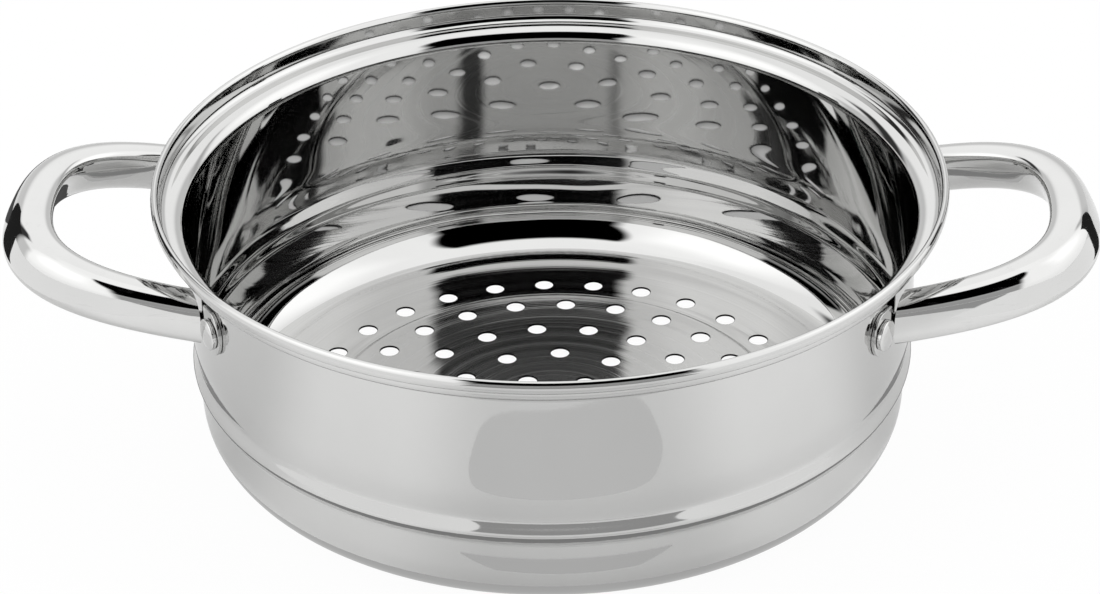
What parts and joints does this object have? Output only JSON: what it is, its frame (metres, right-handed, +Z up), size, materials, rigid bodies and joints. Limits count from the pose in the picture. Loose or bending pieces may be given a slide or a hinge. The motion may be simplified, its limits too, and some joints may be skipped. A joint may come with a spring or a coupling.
{
  "type": "steamer insert",
  "caption": "Round polished steel steamer insert: a deep bowl with a perforated floor, a stepped wall and a lid recess, and two tubular loop handles riveted to its sides.",
  "frame": {"origin": "on the table, below the middle of the bowl's floor", "axes": "+X along the line through the middles of both handles, towards the handle at the viewer's right; +Z up along the bowl's axis"},
  "size_m": [0.3022, 0.2178, 0.0783],
  "materials": {
    "bowl_steel": "mirror polished, with fine turned lines on the floor",
    "handle_steel": "mirror polished",
    "bracket_steel": "polished",
    "rivet_steel": "polished"
  },
  "bodies": {
    "root": {"bowl": "bowl_steel", "handle_right": "handle_steel", "handle_left": "handle_steel", "bracket_right_front": "bracket_steel", "bracket_right_back": "bracket_steel", "bracket_left_front": "bracket_steel", "bracket_left_back": "bracket_steel", "rivet_right_front": "rivet_steel", "rivet_right_back": "rivet_steel", "rivet_left_front": "rivet_steel", "rivet_left_back": "rivet_steel"}
  },
  "joints": []
}
